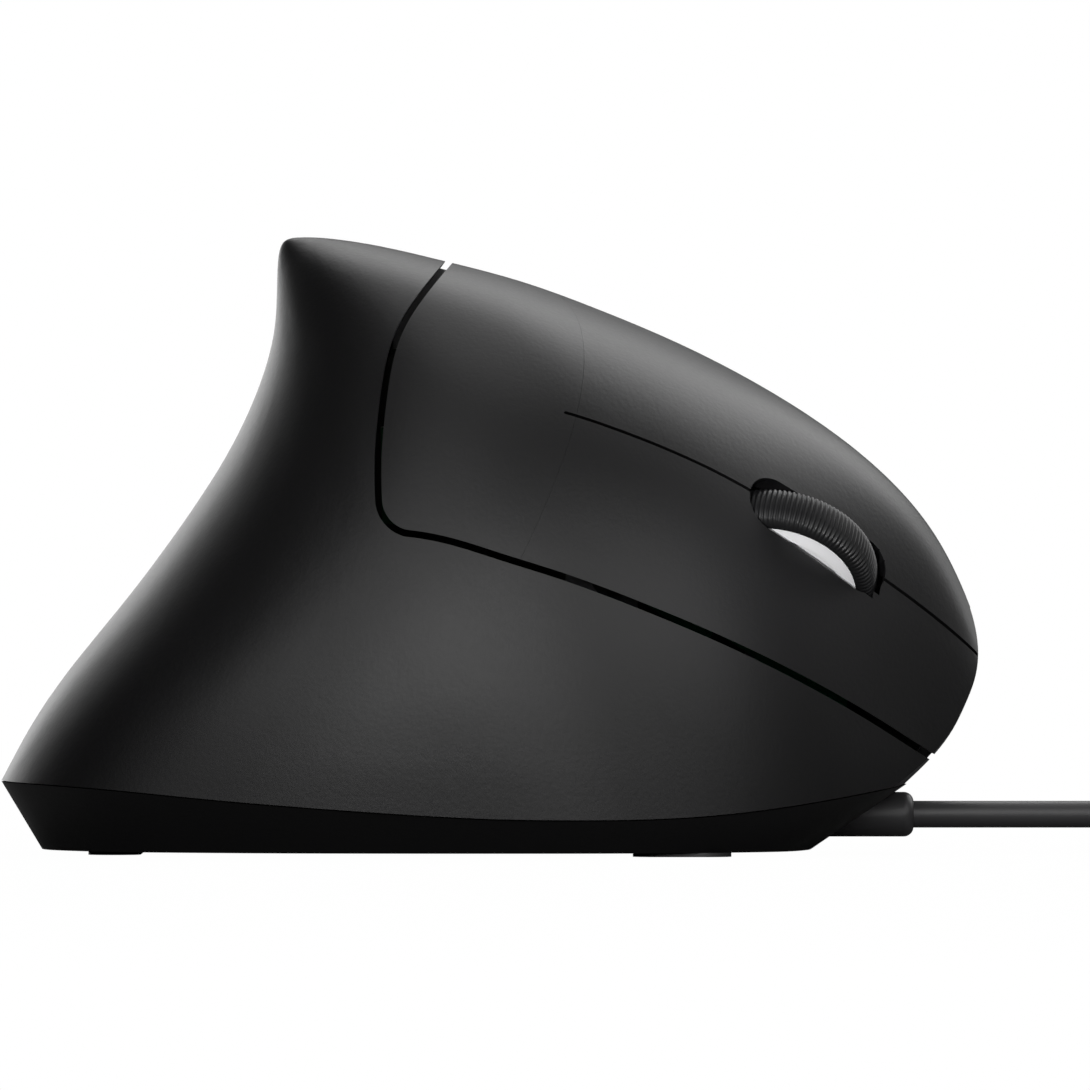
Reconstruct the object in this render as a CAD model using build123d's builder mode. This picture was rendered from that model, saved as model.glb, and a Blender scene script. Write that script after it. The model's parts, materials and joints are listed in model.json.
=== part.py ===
from build123d import *
import math
import os

os.makedirs("parts", exist_ok=True)

# Overall sizes, in millimetres: X runs to the nose, +Y is the thumb side, Z is up
body_length = 120.0
body_height = 75.8
body_half_width = 37.0
wall = 2.0
overrun = 30.0

# Fan of sections: ridge X and Z, foot X, ridge Y, finger and thumb half widths,
# fullness of the finger side and depth of the thumb scoop
station_shares = [
    (-0.5221, 0.0651, -0.5015, 0.000, 1.000, 1.000, 2.50, 0.000),
    (-0.5005, 0.1205, -0.4635, 0.005, 1.000, 1.000, 2.50, 0.005),
    (-0.4738, 0.1987, -0.4182, 0.020, 1.000, 1.000, 2.50, 0.030),
    (-0.4306, 0.2997, -0.3524, 0.050, 1.000, 1.000, 2.50, 0.120),
    (-0.3709, 0.4170, -0.2762, 0.095, 1.000, 1.000, 2.50, 0.340),
    (-0.3092, 0.5505, -0.1980, 0.145, 1.000, 1.000, 2.50, 0.600),
    (-0.2629, 0.6694, -0.1322, 0.180, 1.000, 1.000, 2.50, 0.790),
    (-0.2351, 0.7704, -0.0880, 0.200, 1.000, 1.000, 2.50, 0.890),
    (-0.2227, 0.8469, -0.0561, 0.210, 1.000, 1.000, 2.50, 0.940),
    (-0.2197, 0.9153, -0.0252, 0.215, 1.000, 1.000, 2.50, 0.970),
    (-0.2186, 0.9609, 0.0036, 0.217, 1.000, 1.000, 2.50, 0.985),
    (-0.2135, 0.9911, 0.0324, 0.217, 0.999, 1.000, 2.50, 0.995),
    (-0.1960, 1.0000, 0.0633, 0.215, 0.996, 0.998, 2.50, 1.000),
    (-0.1651, 0.9979, 0.0962, 0.209, 0.988, 0.993, 2.52, 1.000),
    (-0.1137, 0.9854, 0.1301, 0.198, 0.973, 0.982, 2.60, 1.000),
    (-0.0489, 0.9618, 0.1662, 0.182, 0.946, 0.960, 2.76, 1.000),
    (0.0303, 0.9284, 0.2053, 0.163, 0.900, 0.920, 2.94, 1.000),
    (0.1127, 0.8811, 0.2423, 0.145, 0.842, 0.868, 2.98, 1.000),
    (0.1950, 0.8258, 0.2783, 0.130, 0.772, 0.802, 2.82, 0.995),
    (0.2721, 0.7631, 0.3133, 0.117, 0.688, 0.725, 2.40, 0.970),
    (0.3441, 0.6914, 0.3462, 0.103, 0.596, 0.640, 1.84, 0.920),
    (0.4059, 0.6116, 0.3771, 0.083, 0.500, 0.550, 1.44, 0.820),
    (0.4522, 0.5261, 0.4028, 0.060, 0.415, 0.470, 1.19, 0.690),
    (0.4810, 0.4430, 0.4213, 0.041, 0.352, 0.410, 1.04, 0.560),
    (0.5015, 0.3583, 0.4357, 0.028, 0.303, 0.362, 0.96, 0.450),
    (0.5159, 0.2639, 0.4470, 0.020, 0.265, 0.325, 0.92, 0.360),
]
crest_station = 12
finger_turn_shares = [0.0, 0.11, 0.24, 0.38, 0.53, 0.67, 0.79, 0.90, 1.0]
thumb_turn_shares = [0.0, 0.055, 0.11, 0.165, 0.225, 0.30, 0.40, 0.52, 0.66, 0.83, 1.0]
thumb_wall_share = 0.30
thumb_shelf_share = 0.22
finger_tuck = 1.4
tail_round_low = 64.0
tail_round_high = 40.0

# Nose: upright profile turned about an upright axis behind the crest
nose_axis_share = -0.1667
nose_profile_shares = [
    (0.4925, 1.2000),
    (0.4925, 0.3971),
    (0.4975, 0.3668),
    (0.5004, 0.3259),
    (0.4975, 0.2860),
    (0.4875, 0.2427),
    (0.4738, 0.1992),
    (0.4550, 0.1596),
    (0.4175, 0.1016),
    (0.3820, 0.0528),
    (0.3433, 0.0224),
    (0.3180, 0.0060),
]

# Underside: flat foot of the base, and the flared rim over it
foot_height = 0.5
base_rim_height = 9.0
floor_thickness = 2.0
base_foot_shares = [
    (-0.4600, 0.0000),
    (-0.4567, 0.1135),
    (-0.4488, 0.2270),
    (-0.4342, 0.3419),
    (-0.4117, 0.4622),
    (-0.3808, 0.5865),
    (-0.3175, 0.7162),
    (-0.2283, 0.8230),
    (-0.0992, 0.8811),
    (0.0408, 0.8919),
    (0.1608, 0.8378),
    (0.2375, 0.7162),
    (0.2775, 0.6162),
    (0.3000, 0.5216),
    (0.3133, 0.4054),
    (0.3242, 0.2297),
    (0.3292, 0.0000),
]
base_rim_shares = [
    (-0.5050, 0.0000),
    (-0.5008, 0.1378),
    (-0.4914, 0.2730),
    (-0.4733, 0.4108),
    (-0.4475, 0.5514),
    (-0.4117, 0.6919),
    (-0.3375, 0.8459),
    (-0.2358, 0.9676),
    (-0.1008, 1.0270),
    (0.0423, 1.0378),
    (0.1733, 0.9784),
    (0.2608, 0.8405),
    (0.3217, 0.6946),
    (0.3875, 0.5270),
    (0.4200, 0.3892),
    (0.4342, 0.2135),
    (0.4392, 0.0000),
]

# Parting line of housing and base, seen from the side
parting_gap = 0.14
parting_shares = [
    (-0.6000, 0.1240),
    (-0.5008, 0.1174),
    (-0.3958, 0.1082),
    (-0.2925, 0.0937),
    (-0.1908, 0.0805),
    (-0.0900, 0.0694),
    (0.0108, 0.0613),
    (0.0900, 0.0597),
    (0.2125, 0.0646),
    (0.3350, 0.0871),
    (0.4017, 0.1055),
    (0.5500, 0.1490),
]

# Finger panel: gap line seen from the side, and seam behind the ridge seen from above
key_gap = 0.85
light_stop_shares = (-0.1000, -0.0280)
light_stop_low_share = 0.82
light_stop_side_share = 0.1080
light_stop_thickness = 1.2
light_stop_play = 0.15
gap_corner_radius = 4.4
gap_rear_shares = [
    (-0.0160, 1.0250),
    (-0.0442, 0.9578),
    (-0.0717, 0.9000),
    (-0.0917, 0.8470),
    (-0.1083, 0.7335),
    (-0.1129, 0.6517),
    (-0.1125, 0.5752),
]
gap_front_shares = [
    (-0.0847, 0.5189),
    (-0.0300, 0.5020),
    (0.0108, 0.4815),
    (0.0713, 0.4512),
    (0.1517, 0.4037),
    (0.2329, 0.3496),
    (0.3150, 0.2863),
    (0.3967, 0.2124),
    (0.4333, 0.1755),
    (0.4750, 0.1346),
    (0.5600, 0.0550),
]
seam_shares = [
    (-0.2000, 0.310),
    (-0.0600, 0.275),
    (0.0300, 0.255),
    (0.1110, 0.235),
    (0.1950, 0.222),
    (0.2720, 0.208),
    (0.3440, 0.190),
    (0.4060, 0.168),
    (0.4520, 0.142),
    (0.4810, 0.118),
    (0.5020, 0.100),
    (0.5600, 0.060),
]

# Wheel frame: its place on the finger face, the way of the axle and the way out of the face
wheel_place_shares = (0.3333, -0.3649, 0.5158)
axle_way_shares = (0.1578, 0.6649, 0.7301)
face_way_shares = (0.6120, -0.6460, 0.4560)

# Wheel, its slot and the slit between the keys
wheel_radius = 12.2
wheel_width = 5.5
tyre_crown = 0.7
wheel_sink = 8.2
wheel_ahead = 0.5
wheel_clearance = 0.65
wheel_crown_share = 0.88
hub_radius = 10.0
hub_dish_radius = 8.2
hub_dish_depth = 0.8
axle_radius = 1.25
axle_reach_finger = 8.4
axle_reach_thumb = 4.9
slot_length = 21.35
slot_width = 7.6
slit_width = 0.45
slit_lead = 0.6

# Keys: hinge line behind the wheel and press
key_hinge_back = 33.6
hinge_clearance = 0.02
key_press_degrees = 0.8
rib_length = 3.0
rib_width = 3.4

# Switch board that carries the key switches and the wheel cradle
board_depth = 13.0
board_thickness = 1.6
board_back = 25.0
board_step = 4.0
board_front = 17.0
board_wide = 11.6
board_narrow_finger = 9.0
board_narrow_thumb = 6.0
wheel_window_length = 24.4
wheel_window_width = 7.2
key_switch_length = 12.8
key_switch_width = 5.8
key_switch_height = 6.5
key_switch_back = 12.5
key_switch_side = 8.5
plunger_length = 2.6
plunger_width = 1.4
plunger_height = 3.0
plunger_proud = 0.8
plunger_clearance = 0.1
press_slack = 0.1

# Wheel cradle and encoder
cradle_length = 31.0
cradle_width = 10.4
cradle_window_length = 26.4
cradle_window_width = 6.7
cradle_top_depth = 9.0
cradle_bottom_depth = 12.3
cradle_ear_radius = 2.4
cradle_tab_length = 7.0
cradle_tab_width = 5.0
cradle_tab_height = 1.5
encoder_length = 11.0
encoder_width = 4.4
encoder_height = 7.1
encoder_top_depth = 5.2
tact_side = 6.0
tact_height = 3.1
tact_cap_radius = 1.6
tact_cap_proud = 0.5
wheel_press = 0.5

# Switch tower
tower_plate_thickness = 2.0
tower_plate_margin = 2.2
tower_post_side = 5.0
tower_foot_thickness = 1.6
tower_foot_margin = 1.5
tower_place_shares = [(0.0980, -0.465), (0.1300, -0.145), (0.2850, -0.195)]

# Thumb buttons and their board
thumb_place_shares = (0.0667, 0.3568, 0.6266)
thumb_way_shares = (0.1400, 1.0000, 0.1200)
thumb_button_length = 15.0
thumb_button_width = 6.2
thumb_button_pitch = 16.9
thumb_button_proud = 0.8
thumb_button_depth = 4.2
thumb_button_gap = 0.25
thumb_flange_margin = 0.9
thumb_flange_thickness = 0.9
thumb_press = 0.5
thumb_switch_height = 2.5
thumb_board_back = 20.5
thumb_board_front = 20.5
thumb_board_half_height = 6.0
thumb_board_thickness = 1.2
thumb_post_place = 18.2
thumb_post_radius = 1.9

# Main board, sensor, lens and lamp
main_board_back_share = -0.3333
main_board_front_share = 0.0583
main_board_half_width = 22.0
main_board_rise = 4.5
main_board_corner = 3.0
board_post_radius = 2.6
board_post_inset = 3.6
sensor_length = 11.0
sensor_width = 9.0
sensor_height = 2.8
lens_length = 20.0
lens_width = 13.0
lens_window_length = 12.0
lens_window_width = 8.0
lens_throat = 5.0
lamp_radius = 2.5
lamp_length = 6.0
lamp_gap = 0.8
connector_length = 6.0
connector_width = 8.0
connector_height = 4.4
connector_gap = 0.5

# Screws
screw_radius = 1.2
screw_hole_radius = 1.4
screw_pilot_radius = 1.2
screw_head_radius = 2.5
screw_head_height = 1.4
screw_length = 8.0
small_screw_radius = 0.9
small_head_radius = 1.9
small_head_height = 1.0
small_screw_length = 4.2
base_boss_radius = 3.8
base_boss_height = 3.5
shell_post_radius = 3.1
shell_post_places_shares = [(-0.3830, 0.2900), (-0.3830, -0.2900), (0.1950, 0.5500), (0.1950, -0.6750)]
shell_post_top_shares = [0.40, 0.40, 0.30, 0.33]

# Glide feet
glide_long = 30.0
glide_wide = 6.4
glide_rear_share = -0.3830
glide_small_long = 12.0

# Cable, its strain relief, coil, tie and plug
cable_radius = 1.65
cable_height = 4.75
relief_radius = 2.75
relief_round = 1.2
relief_back_share = 0.3050
relief_tip_share = 0.4342
relief_collar_radius = 3.6
relief_collar_share = 0.3200
relief_collar_length = 2.0
relief_fit = 0.15
lead_radius = 1.4
lead_rise_shares = (0.2333, 0.1333)
coil_reach = 51.5
cable_straight = 25.5
cable_ease = 13.5
coil_pitch = 3.9
coil_layer_pitch = 3.8
coil_core_radius = 14.4
coil_steps = [6, 5, 4, 3, 2, 1, 0, 1, 2, 3, 4, 5, 6, 5, 4, 3, 2, 1, 0, 1, 2, 3, 4, 5]
coil_climbs = (6, 12, 18)
tail_steps = [(13.0, 0.0, 0.0), (26.0, 3.6, 3.0), (34.0, 12.2, 6.6)]
plug_reach = 37.0
plug_steps = (22.0, 30.8)
tie_thickness = 0.7
tie_width = 6.0
tie_play = 0.4
tie_rest = 0.05
plug_grip_width = 16.0
plug_grip_height = 8.0
plug_grip_length = 22.0
plug_grip_round = 2.0
plug_shell_width = 12.0
plug_shell_height = 4.5
plug_shell_length = 12.0
plug_shell_wall = 0.35
plug_tongue_height = 1.8
plug_catch = 2.2


def at(x_share, y_share, z_share):
    """Point from shares of the length, half width and height."""
    return Vector(x_share * body_length, y_share * body_half_width, z_share * body_height)


def side_points(shares):
    """Side view points (X, Z) from shares of the length and height."""
    return [(x * body_length, z * body_height) for x, z in shares]


def plan_points(shares, side=1):
    """Plan view points (X, Y) from shares of the length and half width."""
    return [(x * body_length, side * y * body_half_width) for x, y in shares]


def beside(points, amount, start_way=None, end_way=None):
    """Points of a line in a plane, moved sideways to the left of its run."""
    moved = []
    for i, (x, y) in enumerate(points):
        before = points[max(i - 1, 0)]
        after = points[min(i + 1, len(points) - 1)]
        way = Vector(after[0] - before[0], after[1] - before[1], 0).normalized()
        if i == 0 and start_way:
            way = Vector(*start_way, 0)
        if i == len(points) - 1 and end_way:
            way = Vector(*end_way, 0)
        moved.append((x - way.Y * amount, y + way.X * amount))
    return moved


# Form of the body
def rear_edge(height):
    """X of the rear silhouette at a height, smooth through the rear ridge points."""
    knots = [(row[1] * body_height, row[0] * body_length) for row in station_shares[: crest_station + 1]]
    count = len(knots)
    slopes = []
    for i in range(count):
        before = knots[max(i - 1, 0)]
        after = knots[min(i + 1, count - 1)]
        slopes.append((after[1] - before[1]) / (after[0] - before[0]))
    if height <= knots[0][0]:
        return knots[0][1] + slopes[0] * (height - knots[0][0])
    for i in range(count - 1):
        low, high = knots[i], knots[i + 1]
        if height <= high[0]:
            break
    span = high[0] - low[0]
    t = min(1.0, (height - low[0]) / span)
    hold = (1 + 2 * t) * (1 - t) ** 2 * low[1] + t * t * (3 - 2 * t) * high[1]
    lead = t * (1 - t) ** 2 * slopes[i] - t * t * (1 - t) * slopes[i + 1]
    return hold + lead * span


def tail_round(x, height):
    """Share of the width left by the rounding of the rear end."""
    reach = tail_round_low + (tail_round_high - tail_round_low) * height / body_height
    gap = min(1.0, max(0.0, (x - rear_edge(height)) / reach))
    return math.sqrt(1 - (1 - gap) ** 3)


def thumb_reach(rise, scoop):
    """Share of the thumb width at a share of the height, hollowed where scoop is 1."""
    rise = min(1.0, rise)
    dome = math.sqrt(1 - rise**2)
    wall_part = thumb_wall_share * math.sqrt(1 - rise**3)
    shelf_part = (1 - thumb_wall_share) * math.exp(-((rise / thumb_shelf_share) ** 2))
    return (1 - scoop) * dome + scoop * (wall_part + shelf_part)


def thinned(depth, inset):
    """Depth of the form from its ridge line, less the inset and never below zero."""
    if inset == 0:
        return depth
    return depth - inset * depth / (depth + abs(inset))


def ridge_point(index, inset):
    """Ridge point of one section, moved inwards by the inset."""
    place = at(station_shares[index][0], 0, station_shares[index][1])
    before = station_shares[max(index - 1, 0)]
    after = station_shares[min(index + 1, len(station_shares) - 1)]
    along = (at(after[0], 0, after[1]) - at(before[0], 0, before[1])).normalized()
    return place + Vector(along.Z, 0, -along.X) * inset


def section_points(index, inset):
    """Points of one section from the finger foot over the ridge to the thumb foot."""
    ridge_x, ridge_z, foot_x, ridge_y, finger, thumb, fullness, scoop = station_shares[index]
    foot = at(foot_x, 0, 0) * (1 - 2 * inset / body_length)
    ridge = ridge_point(index, inset)
    crown = body_height - inset if index < crest_station else ridge.Z
    crest = ridge_y * body_half_width
    points = []
    for turn in finger_turn_shares:
        rise = math.sin(math.radians(90 * turn))
        spot = foot + (ridge - foot) * rise
        reach = math.sqrt(max(0.0, 1 - (spot.Z / crown) ** fullness)) if turn < 1 else 0.0
        reach *= tail_round(spot.X - inset, spot.Z)
        depth = thinned((crest + finger * body_half_width) * reach, inset)
        tuck = finger_tuck * finger * (1 - rise) ** 4
        points.append(Vector(spot.X, crest - depth + tuck, spot.Z))
    for turn in reversed(thumb_turn_shares[:-1]):
        rise = math.sin(math.radians(90 * turn))
        spot = foot + (ridge - foot) * rise
        reach = thumb_reach(spot.Z / crown, scoop) * tail_round(spot.X - inset, spot.Z)
        depth = thinned((thumb * body_half_width - crest) * reach, inset)
        points.append(Vector(spot.X, crest + depth, spot.Z))
    return points


def fan_form(inset):
    """The body's whole form, lofted through its fan of sections."""
    all_points = [section_points(index, inset) for index in range(len(station_shares))]
    knots = [0.0]
    for index in range(1, len(all_points[0])):
        steps = [(points[index] - points[index - 1]).length for points in all_points]
        knots.append(knots[-1] + sum(steps))
    knots = [knot / knots[-1] for knot in knots]
    wires = []
    for points in all_points:
        with BuildLine() as section_line:
            add(Edge.make_spline(points, parameters=knots))
            Line(points[-1], points[0])
        wires.append(section_line.wire())
    with BuildPart() as form:
        add(Solid.make_loft(wires))
    return form.part


def nose_form(inset):
    """Round block whose wall is the nose, moved inwards by the inset."""
    axis_x = nose_axis_share * body_length
    points = [(x - inset, z) for x, z in side_points(nose_profile_shares)]
    with BuildPart() as block:
        with BuildSketch(Plane.XZ):
            with BuildLine():
                Polyline((axis_x, points[0][1]), points[0], points[1])
                Spline(*points[1:])
                Polyline(points[-1], (axis_x, points[-1][1]), (axis_x, points[0][1]))
            make_face()
        revolve(axis=Axis((axis_x, 0, 0), (0, 0, 1)))
    return block.part


def base_form(inset):
    """Flared block of the underside, moved inwards by the inset."""
    with BuildPart() as block:
        for height, shares in ((foot_height, base_foot_shares), (foot_height + base_rim_height, base_rim_shares)):
            outline = plan_points(shares, -1) + plan_points(shares, 1)[-2:0:-1]
            ring = [outline[-1]] + outline + [outline[0]]
            with BuildSketch(Plane.XY.offset(height)):
                with BuildLine():
                    Spline(*beside(ring, inset)[1:-1], periodic=True)
                make_face()
        loft()
    return block.part


def below_parting(shift):
    """Block under the parting line, its top moved by the shift."""
    points = [(x, z + shift) for x, z in side_points(parting_shares)]
    with BuildPart() as block:
        with BuildSketch(Plane.XZ):
            with BuildLine():
                Spline(*points)
                Polyline(points[-1], (points[-1][0], -overrun), (points[0][0], -overrun), points[0])
            make_face()
        extrude(amount=body_half_width + overrun, both=True)
    return block.part


def panel_zone(shift):
    """Block of the finger panel inside its gap line and seam, grown by the shift."""
    corner_x, corner_z = side_points(gap_rear_shares)[-1]
    rear = beside(side_points(gap_rear_shares), -shift, end_way=(0, -1))
    front = beside(side_points(gap_front_shares), -shift)
    seam = beside(plan_points(seam_shares), shift)
    centre = Vector(corner_x + gap_corner_radius, corner_z)
    end_turn = math.atan2(front[0][1] - centre.Y, front[0][0] - centre.X)
    mid_turn = (math.pi + end_turn % (2 * math.pi)) / 2
    middle = centre + Vector(math.cos(mid_turn), math.sin(mid_turn)) * (gap_corner_radius + shift)
    far_x = body_length / 2 + overrun
    far_z = body_height + overrun
    with BuildPart() as side_block:
        with BuildSketch(Plane.XZ):
            with BuildLine():
                Spline(*rear)
                ThreePointArc(rear[-1], (middle.X, middle.Y), front[0])
                Spline(*front)
                Polyline(front[-1], (far_x, front[-1][1]), (far_x, far_z), (rear[0][0], far_z), rear[0])
            make_face()
        extrude(amount=body_half_width + overrun, both=True)
        with BuildSketch(Plane.XY):
            with BuildLine():
                Spline(*seam)
                Polyline(
                    seam[-1], (far_x, seam[-1][1]), (far_x, -far_z), (seam[0][0], -far_z), seam[0]
                )
            make_face()
        extrude(amount=far_z, mode=Mode.INTERSECT)
    return side_block.part


outer_form = fan_form(0) & nose_form(0)
middle_form = fan_form(wall / 2)
inner_form = fan_form(wall) & nose_form(wall)

# Frame of the wheel: local X runs to the nose, local Y along the axle, local Z out of the face
face_way = Vector(*face_way_shares).normalized()
axle_way = Vector(*axle_way_shares).normalized()
wheel_frame = Plane(at(*wheel_place_shares), x_dir=axle_way.cross(face_way), z_dir=face_way)


def wheel_plane(depth, ahead=0.0, aside=0.0):
    """Plane along the finger face at a depth under the slot's middle."""
    return Plane(
        wheel_frame.from_local_coords((ahead, aside, -depth)),
        x_dir=wheel_frame.x_dir,
        z_dir=wheel_frame.z_dir,
    )


def axle_plane(aside):
    """Plane across the axle, through the wheel's middle when aside is 0."""
    return Plane(
        wheel_frame.from_local_coords((wheel_ahead, aside, -wheel_sink)),
        x_dir=wheel_frame.x_dir,
        z_dir=wheel_frame.y_dir,
    )


# Housing blank, cut into the main shell and the finger panel
with BuildPart() as shell_blank:
    add(outer_form)
    add(inner_form, mode=Mode.SUBTRACT)
    add(below_parting(parting_gap / 2), mode=Mode.SUBTRACT)

with BuildPart() as panel_blank:
    add(shell_blank.part)
    add(panel_zone(-key_gap / 2), mode=Mode.INTERSECT)
    with BuildSketch(wheel_plane(-overrun)):
        SlotOverall(slot_length, slot_width)
    extrude(amount=-(overrun + wheel_sink), mode=Mode.SUBTRACT)


# Housing: hollow posts for the base screws and for the thumb switch board
post_places = [at(x, y, 0) for x, y in shell_post_places_shares]
post_tops = [share * body_height for share in shell_post_top_shares]
post_foot = foot_height + floor_thickness + base_boss_height
thumb_way = Vector(*thumb_way_shares).normalized()
thumb_place = at(*thumb_place_shares)


def thumb_plane(height):
    """Plane along the thumb wall at a height over it, negative inside."""
    return Plane(
        thumb_place + thumb_way * height,
        x_dir=Vector(thumb_way.Y, -thumb_way.X, 0).normalized(),
        z_dir=thumb_way,
    )


thumb_places = [(-thumb_button_pitch / 2, 0), (thumb_button_pitch / 2, 0)]
thumb_board_depth = (
    thumb_button_depth + plunger_clearance + plunger_proud + thumb_switch_height
)
thumb_post_spots = [(-thumb_post_place, 0), (thumb_post_place, 0)]

with BuildPart() as shell_posts:
    for place, top in zip(post_places, post_tops):
        with BuildSketch(Plane.XY.offset(post_foot)):
            with Locations((place.X, place.Y)):
                Circle(shell_post_radius)
        extrude(amount=top - post_foot)
    with BuildSketch(thumb_plane(-thumb_board_depth)):
        with Locations(*thumb_post_spots):
            Circle(thumb_post_radius)
    extrude(amount=thumb_board_depth)
    add(middle_form, mode=Mode.INTERSECT)



def light_stop(play):
    """Thin rib across the gap under the crown, which closes the view through it."""
    back, front = [share * body_length for share in light_stop_shares]
    side = light_stop_side_share * body_half_width
    with BuildPart() as rib:
        with BuildSketch(Plane.XY.offset(light_stop_low_share * body_height - play)):
            with Locations(((back + front) / 2, side + light_stop_thickness / 2)):
                Rectangle(front - back + 2 * play, light_stop_thickness + 2 * play)
        extrude(amount=body_height)
        add(fan_form(wall / 2 - play), mode=Mode.INTERSECT)
    return rib.part


with BuildPart() as main_shell:
    add(shell_blank.part)
    add(shell_posts.part)
    add(panel_zone(key_gap / 2), mode=Mode.SUBTRACT)
    add(light_stop(0))
    for place in post_places:
        with BuildSketch(Plane.XY.offset(post_foot)):
            with Locations((place.X, place.Y)):
                Circle(screw_pilot_radius)
        extrude(amount=screw_length, mode=Mode.SUBTRACT)
    with BuildSketch(thumb_plane(-thumb_board_depth)):
        with Locations(*thumb_post_spots):
            Circle(small_screw_radius)
    extrude(amount=small_screw_length - thumb_board_thickness, mode=Mode.SUBTRACT)
    with BuildSketch(thumb_plane(-thumb_button_depth)):
        with Locations(*thumb_places):
            SlotOverall(
                thumb_button_length + 2 * thumb_button_gap, thumb_button_width + 2 * thumb_button_gap
            )
    extrude(amount=overrun, mode=Mode.SUBTRACT)
main_shell.part.label = "main_shell"

# Keys and the fixed bridge behind them, one panel cut at the flex line and the slit
hinge_plane = Plane(
    wheel_frame.from_local_coords((-key_hinge_back, 0, 0)), x_dir=axle_way, z_dir=wheel_frame.x_dir
)
left_switch_spot = (-key_switch_back, key_switch_side)
right_switch_spot = (-key_switch_back, -key_switch_side)
plunger_top = board_depth - key_switch_height - plunger_proud

with BuildPart() as button_bridge:
    add(panel_blank.part)
    add(light_stop(light_stop_play), mode=Mode.SUBTRACT)
    split(bisect_by=hinge_plane.offset(-hinge_clearance / 2), keep=Keep.BOTTOM)
    with BuildSketch(wheel_plane(-overrun, -key_hinge_back - slit_lead)):
        SlotOverall(2 * slit_lead + slit_width, slit_width)
    extrude(amount=-(overrun + wheel_sink), mode=Mode.SUBTRACT)
button_bridge.part.label = "button_bridge"


wheel_rooms = [
    (wheel_radius + wheel_clearance, wheel_crown_share * wheel_width / 2),
    (wheel_radius - tyre_crown + wheel_clearance, wheel_width / 2 + wheel_clearance),
]


def key(side, spot):
    """One key: its half of the panel, with the rib that works its switch."""
    with BuildPart() as rib:
        with BuildSketch(wheel_plane(plunger_top - press_slack)):
            with Locations(spot):
                Rectangle(rib_length, rib_width)
        extrude(amount=plunger_top + overrun)
        add(middle_form, mode=Mode.INTERSECT)
    half = Plane(wheel_frame.origin + axle_way * side * slit_width / 2, z_dir=axle_way * side)
    with BuildPart() as whole:
        add(panel_blank.part)
        split(bisect_by=hinge_plane.offset(hinge_clearance / 2), keep=Keep.TOP)
        split(bisect_by=half, keep=Keep.TOP)
        add(rib.part)
        for radius, half in wheel_rooms:
            with BuildSketch(axle_plane(-half)):
                Circle(radius)
            extrude(amount=2 * half, mode=Mode.SUBTRACT)
    return whole.part


left_button = key(1, left_switch_spot)
left_button.label = "left_button"
right_button = key(-1, right_switch_spot)
right_button.label = "right_button"

# Thumb buttons: a plug through the housing with a flange behind it
proud_form = fan_form(-thumb_button_proud)


def thumb_button(spot):
    """One thumb button, standing proud of the thumb wall."""
    with BuildPart() as plug:
        with BuildSketch(thumb_plane(-thumb_button_depth)):
            with Locations(spot):
                SlotOverall(thumb_button_length, thumb_button_width)
        extrude(amount=thumb_button_depth + overrun)
        add(proud_form, mode=Mode.INTERSECT)
        with BuildSketch(thumb_plane(-thumb_button_depth)):
            with Locations(spot):
                SlotOverall(
                    thumb_button_length + thumb_flange_margin / 2,
                    thumb_button_width + 2 * thumb_flange_margin,
                )
        extrude(amount=thumb_flange_thickness)
    return plug.part


back_button = thumb_button(thumb_places[0])
back_button.label = "back_button"
forward_button = thumb_button(thumb_places[1])
forward_button.label = "forward_button"

# Base: flared tray under the parting line, with screw bosses and board posts
floor_top = foot_height + floor_thickness
board_bottom = floor_top + main_board_rise
main_board_back = main_board_back_share * body_length
main_board_front = main_board_front_share * body_length
board_middle = (main_board_back + main_board_front) / 2
board_posts = [
    (x, y)
    for x in (main_board_back + board_post_inset, main_board_front - board_post_inset)
    for y in (board_post_inset - main_board_half_width, main_board_half_width - board_post_inset)
]
sensor_x = main_board_front - connector_length - connector_gap - sensor_length / 2
relief_axis = Plane(at(0, 0, 0) + Vector(0, 0, cable_height), x_dir=(0, 1, 0), z_dir=(1, 0, 0))
relief_back = relief_back_share * body_length
relief_tip = relief_tip_share * body_length
relief_collar = relief_collar_share * body_length

with BuildPart() as tray_hollow:
    add(base_form(wall))
    with BuildSketch(Plane.XY.offset(floor_top)):
        Rectangle(body_length * 2, body_half_width * 4)
    extrude(amount=body_height, mode=Mode.INTERSECT)

with BuildPart() as base_tray:
    add(base_form(0))
    add(below_parting(-parting_gap / 2), mode=Mode.INTERSECT)
    add(tray_hollow.part, mode=Mode.SUBTRACT)
    with BuildSketch(Plane.XY.offset(foot_height)):
        for place in post_places:
            with Locations((place.X, place.Y)):
                Circle(base_boss_radius)
    extrude(amount=floor_thickness + base_boss_height)
    with BuildSketch(Plane.XY.offset(foot_height)):
        with Locations(*board_posts):
            Circle(board_post_radius)
    extrude(amount=floor_thickness + main_board_rise)
    with BuildSketch(Plane.XY.offset(foot_height)):
        for place in post_places:
            with Locations((place.X, place.Y)):
                Circle(screw_hole_radius)
    extrude(amount=overrun, mode=Mode.SUBTRACT)
    with BuildSketch(Plane.XY.offset(foot_height)):
        for place in post_places:
            with Locations((place.X, place.Y)):
                Circle(screw_head_radius)
    extrude(amount=screw_head_height, mode=Mode.SUBTRACT)
    with BuildSketch(Plane.XY.offset(board_bottom)):
        with Locations(*board_posts):
            Circle(small_screw_radius)
    extrude(amount=board_thickness - small_screw_length - plunger_clearance, mode=Mode.SUBTRACT)
    with BuildSketch(Plane.XY):
        with Locations((sensor_x, 0)):
            SlotOverall(lens_window_length, lens_window_width)
    extrude(amount=floor_top, mode=Mode.SUBTRACT)
    with BuildSketch(relief_axis.offset(relief_back - relief_fit)):
        Circle(relief_radius + relief_fit)
    extrude(amount=overrun, mode=Mode.SUBTRACT)
base_tray.part.label = "base_tray"

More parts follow.
